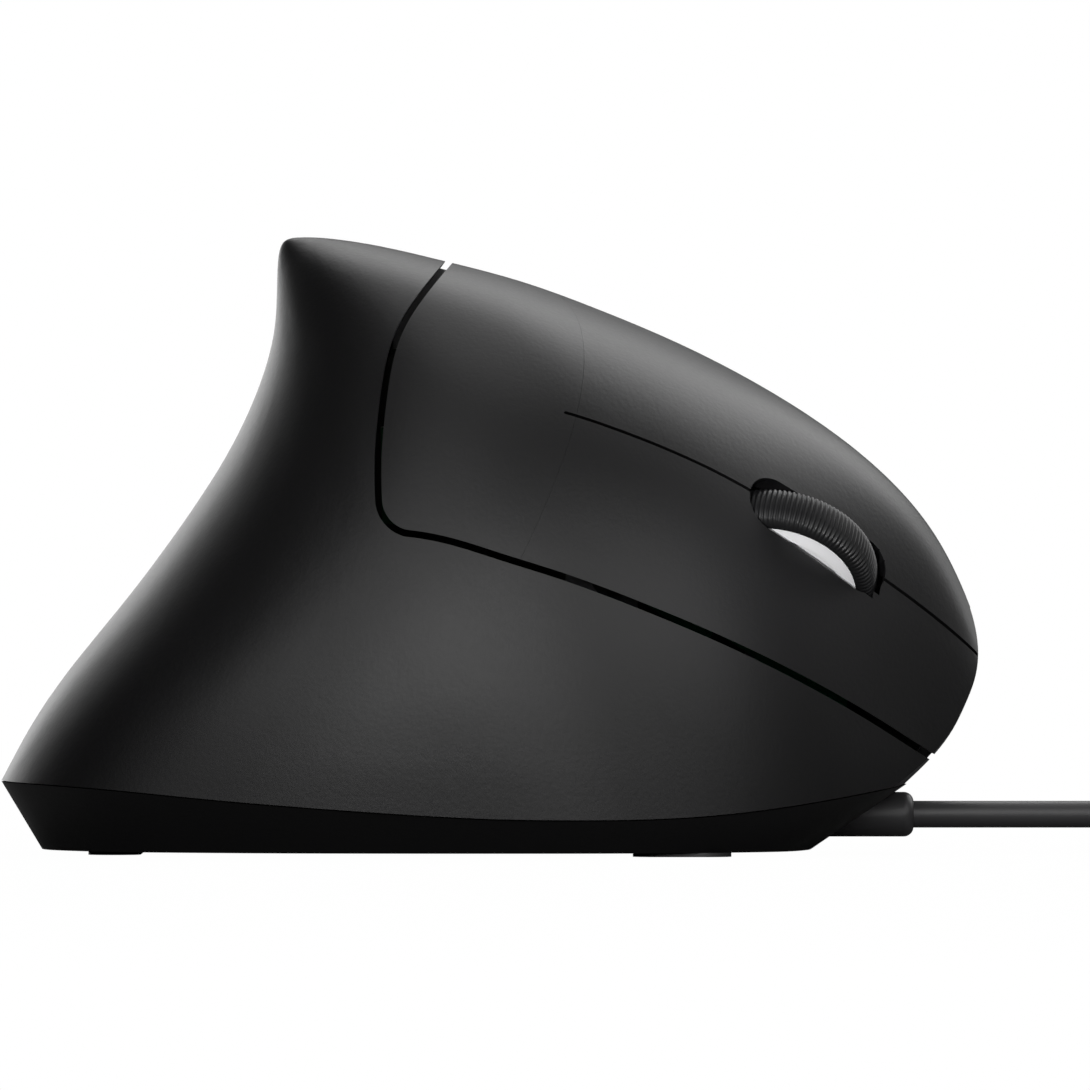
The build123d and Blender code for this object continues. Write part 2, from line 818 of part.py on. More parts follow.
# Glide feet: one wide pad behind and two small ones over the front screws
with BuildPart() as glide_feet:
    with BuildSketch(Plane.XY):
        with Locations((glide_rear_share * body_length, 0)):
            SlotOverall(glide_long, glide_wide, rotation=90)
        for place in post_places[2:]:
            with Locations((place.X, place.Y)):
                SlotOverall(glide_small_long, glide_wide)
    extrude(amount=foot_height)
glide_feet.part.label = "glide_feet"


def screw(plane, radius, length, head_radius, head_height):
    """One screw, its head sitting on the plane and its shank running back through it."""
    with BuildPart() as one:
        with BuildSketch(plane):
            Circle(head_radius)
        extrude(amount=head_height)
        with BuildSketch(plane):
            Circle(radius)
        extrude(amount=-length)
        with BuildSketch(plane.offset(head_height)):
            Rectangle(head_radius, head_height / 3)
            Rectangle(head_height / 3, head_radius)
        extrude(amount=-head_height / 2, mode=Mode.SUBTRACT)
    return one.part


base_screws = Compound(
    label="base_screws",
    children=[
        screw(
            Plane((place.X, place.Y, foot_height + screw_head_height), z_dir=(0, 0, -1)),
            screw_radius,
            screw_length,
            screw_head_radius - plunger_clearance,
            screw_head_height - plunger_clearance,
        )
        for place in post_places
    ],
)

# Main board with the sensor, its lens and lamp, and the cable connector
board_top = board_bottom + board_thickness
with BuildPart() as main_board:
    with BuildSketch(Plane.XY.offset(board_bottom)):
        with Locations((board_middle, 0)):
            RectangleRounded(
                main_board_front - main_board_back, 2 * main_board_half_width, main_board_corner
            )
        with Locations(*board_posts):
            Circle(small_screw_radius + plunger_clearance, mode=Mode.SUBTRACT)
        with Locations((sensor_x, 0)):
            Circle(lens_throat / 2, mode=Mode.SUBTRACT)
    extrude(amount=board_thickness)
main_board.part.label = "main_board"

board_screws = Compound(
    label="board_screws",
    children=[
        screw(
            Plane((x, y, board_top), z_dir=(0, 0, 1)),
            small_screw_radius,
            small_screw_length,
            small_head_radius,
            small_head_height,
        )
        for x, y in board_posts
    ],
)

with BuildPart() as optical_sensor:
    with BuildSketch(Plane.XY.offset(board_top)):
        with Locations((sensor_x, 0)):
            Rectangle(sensor_length, sensor_width)
    extrude(amount=sensor_height)
    chamfer(optical_sensor.faces().sort_by(Axis.Z)[-1].edges(), sensor_height / 6)
optical_sensor.part.label = "optical_sensor"

with BuildPart() as sensor_lens:
    with BuildSketch(Plane.XY.offset(floor_top)):
        with Locations((sensor_x, 0)):
            RectangleRounded(lens_length, lens_width, lens_width / 6)
    extrude(amount=floor_thickness)
    with BuildSketch(Plane.XY.offset(floor_top)):
        with Locations((sensor_x, 0)):
            Circle(lens_throat / 2 - plunger_clearance)
    extrude(amount=main_board_rise)
    with BuildSketch(Plane.XY.offset(floor_top)):
        with Locations((sensor_x, 0)):
            SlotOverall(lens_window_length - press_slack * 2, lens_window_width - press_slack * 2)
    extrude(amount=-floor_thickness / 2)
sensor_lens.part.label = "sensor_lens"

lamp_x = sensor_x - sensor_length / 2 - lamp_gap - lamp_length
with BuildPart() as sensor_lamp:
    with BuildSketch(Plane((lamp_x, 0, board_top + lamp_radius), x_dir=(0, 1, 0), z_dir=(1, 0, 0))):
        Circle(lamp_radius)
    extrude(amount=lamp_length)
    fillet(sensor_lamp.edges().sort_by(Axis.X)[-1], lamp_radius * 0.9)
sensor_lamp.part.label = "sensor_lamp"

with BuildPart() as board_connector:
    with BuildSketch(Plane.XY.offset(board_top)):
        with Locations((main_board_front - connector_length / 2, 0)):
            Rectangle(connector_length, connector_width)
    extrude(amount=connector_height)
board_connector.part.label = "board_connector"

# Wheel: rubber tyre on a hub, turning with its axle
wheel_middle = wheel_plane(wheel_sink, wheel_ahead)
axle_axis = Axis(wheel_middle.origin, axle_way)
half_wheel = wheel_width / 2

with BuildPart() as wheel_tyre:
    with BuildSketch(wheel_middle):
        with BuildLine():
            Polyline(
                (wheel_radius - tyre_crown, half_wheel),
                (0, half_wheel),
                (0, -half_wheel),
                (wheel_radius - tyre_crown, -half_wheel),
            )
            ThreePointArc(
                (wheel_radius - tyre_crown, -half_wheel),
                (wheel_radius, 0),
                (wheel_radius - tyre_crown, half_wheel),
            )
        make_face()
    revolve(axis=axle_axis)
    with BuildSketch(axle_plane(-half_wheel)):
        Circle(hub_radius)
    extrude(amount=wheel_width, mode=Mode.SUBTRACT)
wheel_tyre.part.label = "wheel_tyre"

with BuildPart() as wheel_hub:
    with BuildSketch(axle_plane(-half_wheel)):
        Circle(hub_radius)
    extrude(amount=wheel_width)
    for side in (-1, 1):
        with BuildSketch(axle_plane(side * half_wheel)):
            Circle(hub_dish_radius)
            Circle(2 * axle_radius, mode=Mode.SUBTRACT)
        extrude(amount=-side * hub_dish_depth, mode=Mode.SUBTRACT)
    with BuildSketch(axle_plane(-half_wheel)):
        Circle(axle_radius)
    extrude(amount=wheel_width, mode=Mode.SUBTRACT)
wheel_hub.part.label = "wheel_hub"

with BuildPart() as wheel_axle:
    with BuildSketch(axle_plane(-axle_reach_finger)):
        Circle(axle_radius)
    extrude(amount=axle_reach_finger + axle_reach_thumb)
wheel_axle.part.label = "wheel_axle"

# Cradle that carries the wheel and slides inwards for the middle click
bearing_radius = axle_radius + plunger_clearance
ear_inner = cradle_window_width / 2
ear_length = (cradle_width - cradle_window_width) / 2
tab_middle = wheel_ahead - (cradle_length + cradle_tab_length) / 2
tab_bottom = board_depth - tact_height - tact_cap_proud - press_slack
tab_reach = (cradle_length - cradle_window_length) / 2

with BuildPart() as wheel_cradle:
    with BuildSketch(wheel_plane(cradle_top_depth, wheel_ahead)):
        Rectangle(cradle_length, cradle_width)
        Rectangle(cradle_window_length, cradle_window_width, mode=Mode.SUBTRACT)
    extrude(amount=cradle_top_depth - cradle_bottom_depth)
    for side in (-1, 1):
        with BuildSketch(axle_plane(side * ear_inner)):
            Circle(cradle_ear_radius)
        extrude(amount=side * ear_length)
    with BuildSketch(wheel_plane(tab_bottom, tab_middle + tab_reach / 2)):
        Rectangle(cradle_tab_length + tab_reach, cradle_tab_width)
    extrude(amount=cradle_tab_height)
    with BuildSketch(axle_plane(-cradle_width)):
        Circle(bearing_radius)
    extrude(amount=2 * cradle_width, mode=Mode.SUBTRACT)
wheel_cradle.part.label = "wheel_cradle"

with BuildPart() as wheel_encoder:
    with BuildSketch(wheel_plane(encoder_top_depth, wheel_ahead, -(cradle_width + encoder_width) / 2)):
        Rectangle(encoder_length, encoder_width)
    extrude(amount=-encoder_height)
    with BuildSketch(axle_plane(-cradle_width / 2)):
        Circle(bearing_radius)
    extrude(amount=-(axle_reach_finger - cradle_width / 2 + plunger_clearance), mode=Mode.SUBTRACT)
wheel_encoder.part.label = "wheel_encoder"


# Switch board with its switches and their plungers
def board_outline(margin):
    """Outline of the switch board, wide behind the wheel and narrow beside it."""
    back, front = margin - board_back, board_front - margin
    wide, step = board_wide - margin, -board_step - margin
    return [
        (back, -wide),
        (step, -wide),
        (step, margin - board_narrow_finger),
        (front, margin - board_narrow_finger),
        (front, board_narrow_thumb - margin),
        (step, board_narrow_thumb - margin),
        (step, wide),
        (back, wide),
    ]


with BuildPart() as switch_board:
    with BuildSketch(wheel_plane(board_depth)):
        Polygon(*board_outline(0), align=None)
        with Locations((wheel_ahead, 0)):
            Rectangle(wheel_window_length, wheel_window_width, mode=Mode.SUBTRACT)
    extrude(amount=-board_thickness)
switch_board.part.label = "switch_board"


def tall_switch(spot):
    """Key switch with the pocket of its plunger."""
    press = (key_hinge_back - key_switch_back) * math.radians(key_press_degrees)
    pocket = plunger_height - plunger_proud + press + plunger_clearance
    with BuildPart() as body:
        with BuildSketch(wheel_plane(board_depth)):
            with Locations(spot):
                Rectangle(key_switch_length, key_switch_width)
        extrude(amount=key_switch_height)
        with BuildSketch(wheel_plane(board_depth - key_switch_height)):
            with Locations(spot):
                Rectangle(plunger_length + 2 * plunger_clearance, plunger_width + 2 * plunger_clearance)
        extrude(amount=-pocket, mode=Mode.SUBTRACT)
    return body.part


def tall_plunger(spot):
    """Plunger of a key switch, standing proud of its body."""
    with BuildPart() as pin:
        with BuildSketch(wheel_plane(plunger_top)):
            with Locations(spot):
                Rectangle(plunger_length, plunger_width)
        extrude(amount=-plunger_height)
    return pin.part


def flat_switch(plane, spot, height, proud, press):
    """Flat push switch standing on a plane, and its round cap."""
    length = tact_side / 3
    with BuildPart() as body:
        with BuildSketch(plane):
            with Locations(spot):
                Rectangle(tact_side, tact_side)
        extrude(amount=height)
        with BuildSketch(plane.offset(height)):
            with Locations(spot):
                Circle(tact_cap_radius + plunger_clearance)
        extrude(amount=-(length - proud + press + plunger_clearance), mode=Mode.SUBTRACT)
    with BuildPart() as cap:
        with BuildSketch(plane.offset(height + proud)):
            with Locations(spot):
                Circle(tact_cap_radius)
        extrude(amount=-length)
    return body.part, cap.part


left_switch = tall_switch(left_switch_spot)
right_switch = tall_switch(right_switch_spot)
left_plunger = tall_plunger(left_switch_spot)
right_plunger = tall_plunger(right_switch_spot)
middle_switch, middle_plunger = flat_switch(
    wheel_plane(board_depth), (tab_middle, 0), tact_height, tact_cap_proud, wheel_press
)

# Tower that carries the switch board over the base
tower_top = board_depth + board_thickness
tower_arm_margin = tower_plate_margin + tower_post_side / 2
tower_places = [at(x, y, 0) for x, y in tower_place_shares]


def spot_above(place, plane):
    """Where the upright through a place meets a sloping plane, in that plane."""
    rise = (plane.origin - place).dot(plane.z_dir) / plane.z_dir.Z
    spot = plane.to_local_coords(place + Vector(0, 0, rise))
    return Vector(spot.X, spot.Y)


with BuildPart() as tower_posts:
    with BuildSketch(Plane.XY.offset(floor_top)):
        for place in tower_places:
            with Locations((place.X, place.Y)):
                Rectangle(tower_post_side, tower_post_side)
    extrude(amount=body_height)
    split(bisect_by=wheel_plane(tower_top + tower_plate_thickness / 2), keep=Keep.BOTTOM)
    with BuildSketch(Plane.XY.offset(floor_top)):
        for place in tower_places:
            with Locations((place.X, place.Y)):
                Rectangle(
                    tower_post_side + 2 * tower_foot_margin, tower_post_side + 2 * tower_foot_margin
                )
    extrude(amount=tower_foot_thickness)

with BuildPart() as switch_tower:
    with BuildSketch(wheel_plane(tower_top)):
        Polygon(*board_outline(tower_plate_margin), align=None)
        for place in tower_places:
            post_top = spot_above(place, wheel_plane(tower_top))
            corners = [Vector(*corner) for corner in board_outline(tower_arm_margin)]
            arm_root = min(corners, key=lambda corner: (corner - post_top).length)
            SlotCenterPoint((arm_root + post_top) / 2, post_top, tower_post_side)
        with Locations((wheel_ahead, 0)):
            Rectangle(wheel_window_length, wheel_window_width, mode=Mode.SUBTRACT)
    extrude(amount=-tower_plate_thickness)
    add(tower_posts.part)
switch_tower.part.label = "switch_tower"

# Thumb switch board on the housing's two posts
thumb_board_plane = thumb_plane(-thumb_board_depth)
with BuildPart() as thumb_board:
    with BuildSketch(thumb_board_plane):
        Rectangle(thumb_board_back + thumb_board_front, 2 * thumb_board_half_height)
        with Locations(*thumb_post_spots):
            Circle(small_screw_radius + plunger_clearance, mode=Mode.SUBTRACT)
    extrude(amount=-thumb_board_thickness)
thumb_board.part.label = "thumb_board"

back_switch, back_plunger = flat_switch(
    thumb_board_plane, thumb_places[0], thumb_switch_height, plunger_proud, thumb_press
)
forward_switch, forward_plunger = flat_switch(
    thumb_board_plane, thumb_places[1], thumb_switch_height, plunger_proud, thumb_press
)

thumb_screw_plane = thumb_plane(-thumb_board_depth - thumb_board_thickness)
thumb_screws = Compound(
    label="thumb_screws",
    children=[
        screw(
            Plane(
                thumb_screw_plane.from_local_coords((*spot, 0)),
                x_dir=thumb_screw_plane.x_dir,
                z_dir=-thumb_way,
            ),
            small_screw_radius,
            small_screw_length,
            small_head_radius,
            small_head_height,
        )
        for spot in thumb_post_spots
    ],
)

# Strain relief in the nose of the base, and the lead from it to the main board
with BuildPart() as strain_relief:
    with BuildSketch(relief_axis.offset(relief_back)):
        Circle(relief_radius)
    extrude(amount=relief_tip - relief_back)
    fillet(strain_relief.edges().sort_by(Axis.X)[-1], relief_round)
    with BuildSketch(relief_axis.offset(relief_collar)):
        Circle(relief_collar_radius)
    extrude(amount=relief_collar_length)
    with BuildSketch(Plane.XY.offset(floor_top + relief_fit)):
        with Locations((relief_collar + relief_collar_length / 2, 0)):
            Rectangle(2 * relief_collar_length, 3 * relief_collar_radius)
    extrude(amount=-relief_collar_radius, mode=Mode.SUBTRACT)
    with BuildSketch(relief_axis.offset(relief_back)):
        Circle(relief_radius)
    extrude(amount=relief_tip - relief_back - relief_round)
strain_relief.part.label = "strain_relief"


def rounded_route(points):
    """Straight runs joined by arcs as large as the runs allow."""
    radii = []
    for i in range(1, len(points) - 1):
        before = Vector(*points[i]) - Vector(*points[i - 1])
        after = Vector(*points[i + 1]) - Vector(*points[i])
        turn = math.radians(before.get_angle(after))
        radii.append(0.45 * min(before.length, after.length) / math.tan(turn / 2))
    print("radii", [round(radius, 1) for radius in radii])
    with BuildLine() as line:
        FilletPolyline(*points, radius=radii)
    return line.wire()


def tube(path, radius, label):
    """Round cord along a path, its volume compared with section times length."""
    with BuildPart() as cord:
        with BuildSketch(Plane(path @ 0, z_dir=path % 0)):
            Circle(radius)
        sweep(path=path)
    share = cord.part.volume / (math.pi * radius**2 * path.length)
    print(label, "length", round(path.length, 1), "volume share", round(share, 4))
    cord.part.label = label
    return cord.part


connector_height_middle = board_top + connector_height / 2
lead_route = [
    (relief_back, 0, cable_height),
    (lead_rise_shares[0] * body_length, 0, cable_height),
    (lead_rise_shares[1] * body_length, 0, connector_height_middle),
    (main_board_front, 0, connector_height_middle),
]
board_lead = tube(rounded_route(lead_route), lead_radius, "board_lead")

# Cable: out of the relief, down to the desk, and round its coil
coil_start_x = relief_tip + coil_reach
coil_bottom = tie_thickness + tie_rest + cable_radius
cable_route = [
    (relief_tip, 0, cable_height),
    (relief_tip + cable_straight, 0, cable_height),
    (relief_tip + cable_straight + cable_ease, 0, coil_bottom),
    (coil_start_x, 0, coil_bottom),
]
cable = tube(rounded_route(cable_route), cable_radius, "cable")


def coil_arcs():
    """Half turns of the coil; a climbing half turn is two leaning quarter turns."""
    place = Vector(coil_start_x, 0, coil_bottom)
    heading = 1
    arcs = []
    for count, step in enumerate(coil_steps):
        radius = coil_core_radius + step * coil_pitch / 2
        rise = coil_layer_pitch if count in coil_climbs else 0
        end = place + Vector(0, 2 * heading * radius, rise)
        reach = Vector(0, 2 * heading * radius, rise).length / 2
        way = Vector(0, 2 * heading * radius, rise).normalized()
        ahead = Vector(heading, 0, 0)
        top = place + way * reach + ahead * reach
        lean = math.sqrt(0.5)
        first = place + way * reach + (ahead - way) * (reach * lean)
        second = place + way * reach + (ahead + way) * (reach * lean)
        arcs.append((place, first, top))
        arcs.append((top, second, end))
        place = end
        heading = -heading
    return arcs


with BuildLine() as coil_line:
    for start, middle, end in coil_arcs():
        ThreePointArc(start, middle, end)
coil_path = coil_line.wire()
cable_coil = tube(coil_path, cable_radius, "cable_coil")
coil_end = coil_path @ 1


def least_gap(path, radius, count=1500):
    """Least gap of a wound cord to itself, measured on points along it."""
    places = [path @ (i / count) for i in range(count + 1)]
    skip = int(4 * radius / path.length * count) + 1
    least = path.length
    for i in range(0, count + 1):
        for j in range(i + skip, count + 1):
            gap = abs(places[i].X - places[j].X)
            if gap < 3 * radius:
                least = min(least, (places[i] - places[j]).length)
    return least - 2 * radius


print("coil gap to itself", round(least_gap(coil_path, cable_radius), 3))

plug_height = plug_grip_height / 2
plug_x = coil_end.X + plug_reach
tail_route = [(coil_end.X, coil_end.Y, coil_end.Z)]
tail_route += [
    (coil_end.X + ahead, coil_end.Y + aside, coil_end.Z - drop) for ahead, aside, drop in tail_steps
]
tail_route += [(plug_x, coil_end.Y + aside, plug_height) for aside in plug_steps]
cable_tail = tube(rounded_route(tail_route), cable_radius, "cable_tail")
plug_axis = Plane(tail_route[-1], x_dir=(1, 0, 0), z_dir=(0, 1, 0))

# Tie round the coil on the side nearest the mouse
column_radii = [coil_core_radius + step * coil_pitch / 2 for step in (1, 5)]
tie_half_reach = tie_width / 2 + coil_pitch / 2
tie_bow = column_radii[0] - math.sqrt(column_radii[0] ** 2 - tie_half_reach**2)
tie_left = coil_start_x - column_radii[1] - cable_radius - tie_play
tie_right = coil_start_x - column_radii[0] + cable_radius + tie_bow + tie_play
coil_top = coil_bottom + len(coil_climbs) * coil_layer_pitch + cable_radius
coil_middle_y = coil_core_radius + coil_steps[0] * coil_pitch / 2
tie_middle = Plane(((tie_left + tie_right) / 2, coil_middle_y, 0), x_dir=(1, 0, 0), z_dir=(0, -1, 0))
tie_high = coil_top + tie_play

with BuildPart() as cable_tie:
    with BuildSketch(tie_middle):
        with Locations((0, (tie_high + tie_thickness) / 2)):
            RectangleRounded(
                tie_right - tie_left + 2 * tie_thickness, tie_high + tie_thickness, cable_radius
            )
        with Locations((0, (tie_high + tie_thickness) / 2)):
            RectangleRounded(
                tie_right - tie_left,
                tie_high - tie_thickness,
                cable_radius - tie_thickness,
                mode=Mode.SUBTRACT,
            )
    extrude(amount=tie_width / 2, both=True)
cable_tie.part.label = "cable_tie"

# Plug at the far end
with BuildPart() as plug_grip:
    with BuildSketch(plug_axis):
        RectangleRounded(plug_grip_width, plug_grip_height - plug_grip_round / 4, plug_grip_round)
    extrude(amount=plug_grip_length)
    fillet(plug_grip.faces().sort_by(Axis.Y)[0].edges(), plug_grip_round / 2)
plug_grip.part.label = "plug_grip"

with BuildPart() as plug_shell:
    with BuildSketch(plug_axis.offset(plug_grip_length)):
        Rectangle(plug_shell_width, plug_shell_height)
        Rectangle(
            plug_shell_width - 2 * plug_shell_wall,
            plug_shell_height - 2 * plug_shell_wall,
            mode=Mode.SUBTRACT,
        )
    extrude(amount=plug_shell_length)
    with BuildSketch(Plane(plug_axis.from_local_coords((0, 0, plug_grip_length + plug_shell_length / 2)))):
        with Locations((-plug_catch, 0), (plug_catch, 0)):
            Rectangle(plug_catch, plug_catch)
    extrude(amount=plug_shell_height, both=True, mode=Mode.SUBTRACT)
plug_shell.part.label = "plug_shell"

with BuildPart() as plug_tongue:
    with BuildSketch(plug_axis.offset(plug_grip_length)):
        with Locations((0, (plug_shell_height - plug_tongue_height) / 2 - plug_shell_wall)):
            Rectangle(plug_shell_width - 2 * plug_shell_wall, plug_tongue_height)
    extrude(amount=plug_shell_length - plug_shell_wall * 2)
plug_tongue.part.label = "plug_tongue"

# Write every piece under its own name
pieces = {
    "main_shell": main_shell.part,
    "button_bridge": button_bridge.part,
    "left_button": left_button,
    "right_button": right_button,
    "back_button": back_button,
    "forward_button": forward_button,
    "base_tray": base_tray.part,
    "glide_feet": glide_feet.part,
    "base_screws": base_screws,
    "main_board": main_board.part,
    "board_screws": board_screws,
    "optical_sensor": optical_sensor.part,
    "sensor_lens": sensor_lens.part,
    "sensor_lamp": sensor_lamp.part,
    "board_connector": board_connector.part,
    "board_lead": board_lead,
    "wheel_tyre": wheel_tyre.part,
    "wheel_hub": wheel_hub.part,
    "wheel_axle": wheel_axle.part,
    "wheel_cradle": wheel_cradle.part,
    "wheel_encoder": wheel_encoder.part,
    "switch_board": switch_board.part,
    "switch_tower": switch_tower.part,
    "left_switch": left_switch,
    "left_plunger": left_plunger,
    "right_switch": right_switch,
    "right_plunger": right_plunger,
    "middle_switch": middle_switch,
    "middle_plunger": middle_plunger,
    "thumb_board": thumb_board.part,
    "thumb_screws": thumb_screws,
    "back_switch": back_switch,
    "back_plunger": back_plunger,
    "forward_switch": forward_switch,
    "forward_plunger": forward_plunger,
    "strain_relief": strain_relief.part,
    "cable": cable,
    "cable_coil": cable_coil,
    "cable_tail": cable_tail,
    "cable_tie": cable_tie.part,
    "plug_grip": plug_grip.part,
    "plug_shell": plug_shell.part,
    "plug_tongue": plug_tongue.part,
}
for name, piece in pieces.items():
    piece.label = name
    export_step(piece, "parts/" + name + ".step")
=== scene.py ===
"""Looks of the upright mouse: camera, cord, ribbed tyre, materials and studio light."""
import json
import math

import bpy
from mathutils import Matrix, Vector


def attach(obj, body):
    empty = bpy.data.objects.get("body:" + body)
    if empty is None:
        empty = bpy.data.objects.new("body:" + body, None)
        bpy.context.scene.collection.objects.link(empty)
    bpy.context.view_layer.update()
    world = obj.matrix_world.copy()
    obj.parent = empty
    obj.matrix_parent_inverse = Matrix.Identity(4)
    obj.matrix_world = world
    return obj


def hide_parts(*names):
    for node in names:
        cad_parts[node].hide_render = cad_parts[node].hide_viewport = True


MM = 0.001
BODY = "housing"
WHEEL_BODY = "wheel"


def mm(*values):
    """Millimetres as a point in metres."""
    return Vector([value * MM for value in values])


def face_towards(lamp, aim):
    """Turn a lamp so that it shines on a point."""
    lamp.rotation_mode = "QUATERNION"
    lamp.rotation_quaternion = (aim - lamp.location).to_track_quat("-Z", "Y")


# Camera, where the photograph was taken from

CAMERA_PLACE = (6.73, -2000.0, 37.9)
CAMERA_LENS = 536.4
CAMERA_SENSOR = 36.0
CAMERA_NEAR = 0.05
CAMERA_FAR = 50.0


def add_camera():
    """A long lens far off, level with the middle of the mouse."""
    data = bpy.data.cameras.new("camera")
    data.lens = CAMERA_LENS
    data.sensor_width = CAMERA_SENSOR
    data.clip_start = CAMERA_NEAR
    data.clip_end = CAMERA_FAR
    camera = bpy.data.objects.new("camera", data)
    camera.location = mm(*CAMERA_PLACE)
    camera.rotation_euler = (math.radians(90), 0, 0)
    bpy.context.scene.collection.objects.link(camera)
    bpy.context.scene.camera = camera


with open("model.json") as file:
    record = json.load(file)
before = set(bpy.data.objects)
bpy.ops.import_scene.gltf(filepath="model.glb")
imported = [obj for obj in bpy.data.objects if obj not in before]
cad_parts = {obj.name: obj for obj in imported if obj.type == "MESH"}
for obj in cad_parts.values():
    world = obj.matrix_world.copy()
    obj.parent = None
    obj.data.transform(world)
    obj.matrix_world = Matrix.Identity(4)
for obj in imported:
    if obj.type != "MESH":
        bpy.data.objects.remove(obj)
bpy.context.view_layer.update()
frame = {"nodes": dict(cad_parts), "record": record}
nodes = frame["nodes"]
bpy.context.scene.view_settings.view_transform = "Standard"
add_camera()

# Cord: route from the strain relief to the coil, round it, and on to the plug.
# Lengths in millimetres, but the cord's in metres. STEPS are the steps outwards at each
# half turn of the coil, and CLIMBS the half turns at which it climbs a layer.

CORD_RADIUS = 1.65
CORD_EXIT = (52.104, 0.0, 4.75)
COIL_X = 103.604
COIL_LOW = 2.4
LAYER = 3.8
PITCH = 3.9
CORE = 14.4
STEPS = [6, 5, 4, 3, 2, 1, 0, 1, 2, 3, 4, 5, 6, 5, 4, 3, 2, 1, 0, 1, 2, 3, 4, 5]
CLIMBS = (6, 12, 18)
POINTS_PER_HALF = 6
CORD_BEVEL_STEPS = 6
CORD_LINE_STEPS = 8
COIL_Y = CORE + STEPS[0] * PITCH / 2
COIL_TOP = COIL_LOW + LAYER * len(CLIMBS)
PLUG_X = COIL_X + 37.0
PLUG_HEIGHT = 4.0


def coil_radius(place):
    """Radius at a place counted in half turns, changing steadily between them."""
    spot = place - 0.5
    low = min(max(math.floor(spot), 0), len(STEPS) - 2)
    step = STEPS[low] + (STEPS[low + 1] - STEPS[low]) * (spot - low)
    return CORE + min(step, STEPS[0]) * PITCH / 2


def coil_height(place):
    """Height at a place counted in half turns: a climb is one layer, eased at its ends."""
    height = COIL_LOW
    for climb in CLIMBS:
        share = min(max(place - climb, 0.0), 1.0)
        height += LAYER * share * share * (3 - 2 * share)
    return height


def coil_points():
    """Control points round the coil, set out so that the smooth line keeps the radius."""
    swell = 1 / math.cos(math.pi / POINTS_PER_HALF / 2)
    points = []
    for count in range(1, len(STEPS) * POINTS_PER_HALF):
        place = count / POINTS_PER_HALF
        angle = math.pi * (place - 0.5)
        radius = coil_radius(place) * swell
        along = COIL_X + radius * math.cos(angle)
        aside = COIL_Y + radius * math.sin(angle)
        points.append((along, aside, coil_height(place)))
    return points


route = [
    CORD_EXIT,
    (71.0, 0.0, CORD_EXIT[2]),
    (77.604, 0.0, CORD_EXIT[2]),
    (91.104, 0.0, COIL_LOW),
    (COIL_X - 3.0, 0.0, COIL_LOW),
    *coil_points(),
    (COIL_X + 3.0, 0.0, COIL_TOP),
    (COIL_X + 13.0, 0.0, COIL_TOP),
    (COIL_X + 26.0, 3.6, COIL_TOP - 3.0),
    (COIL_X + 34.0, 12.2, COIL_TOP - 6.6),
    (PLUG_X, 22.0, PLUG_HEIGHT),
    (PLUG_X, 30.8, PLUG_HEIGHT),
]


def add_cord(points):
    """One smooth line through the whole route, with a round section.

    The radius is on the points, with a bevel of one: Blender adds a point's radius to
    the curve's box, and the default radius of one metre would throw the views off.
    """
    data = bpy.data.curves.new("cord", "CURVE")
    data.dimensions = "3D"
    data.bevel_depth = 1.0
    data.bevel_resolution = CORD_BEVEL_STEPS
    data.resolution_u = CORD_LINE_STEPS
    data.use_fill_caps = True
    spline = data.splines.new("NURBS")
    spline.points.add(len(points) - 1)
    for place, point in zip(points, spline.points):
        point.co = (*mm(*place), 1.0)
        point.radius = CORD_RADIUS * MM
    spline.order_u = 3
    spline.use_endpoint_u = True
    spline.use_smooth = True
    cord = bpy.data.objects.new("cord", data)
    bpy.context.scene.collection.objects.link(cord)
    return cord


cord = add_cord(route)
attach(cord, BODY)
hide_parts("cable", "cable_coil", "cable_tail")

# Ribbed tyre, in the frame of the finger face: towards the nose, along the axle, outwards

FACE_WAY = Vector((0.6120, -0.6460, 0.4560)).normalized()
AXLE_WAY = Vector((0.1578, 0.6649, 0.7301)).normalized()
NOSE_WAY = AXLE_WAY.cross(FACE_WAY).normalized()
OUT_WAY = NOSE_WAY.cross(AXLE_WAY)
WHEEL_MIDDLE = (35.3645, -8.0161, 35.1036)
TYRE_RADIUS = 12.2
SHOULDER_RADIUS = 10.35
HUB_RADIUS = 10.0
TYRE_WIDTH = 5.5
TREAD_EXPONENT = 0.75
RIB_COUNT = 122
RIB_DEPTH = 0.26
STEPS_PER_RIB = 8
STEPS_ACROSS = 14


def wheel_point(angle, radius, aside):
    """Point of the wheel at an angle round its axle."""
    way = NOSE_WAY * math.cos(angle) + OUT_WAY * math.sin(angle)
    return mm(*WHEEL_MIDDLE) + (way * radius + AXLE_WAY * aside) * MM


def tyre_profile():
    """Section of the tyre as radius, place along the axle and share of a rib's depth."""
    profile = [(HUB_RADIUS, -TYRE_WIDTH / 2, 0.0)]
    for step in range(STEPS_ACROSS + 1):
        lean = math.pi * (step / STEPS_ACROSS - 0.5)
        across = math.copysign(abs(math.sin(lean)) ** TREAD_EXPONENT, lean)
        rise = math.cos(lean) ** TREAD_EXPONENT
        radius = SHOULDER_RADIUS + (TYRE_RADIUS - SHOULDER_RADIUS) * rise
        profile.append((radius, across * TYRE_WIDTH / 2, 1.0))
    profile.append((HUB_RADIUS, TYRE_WIDTH / 2, 0.0))
    return profile


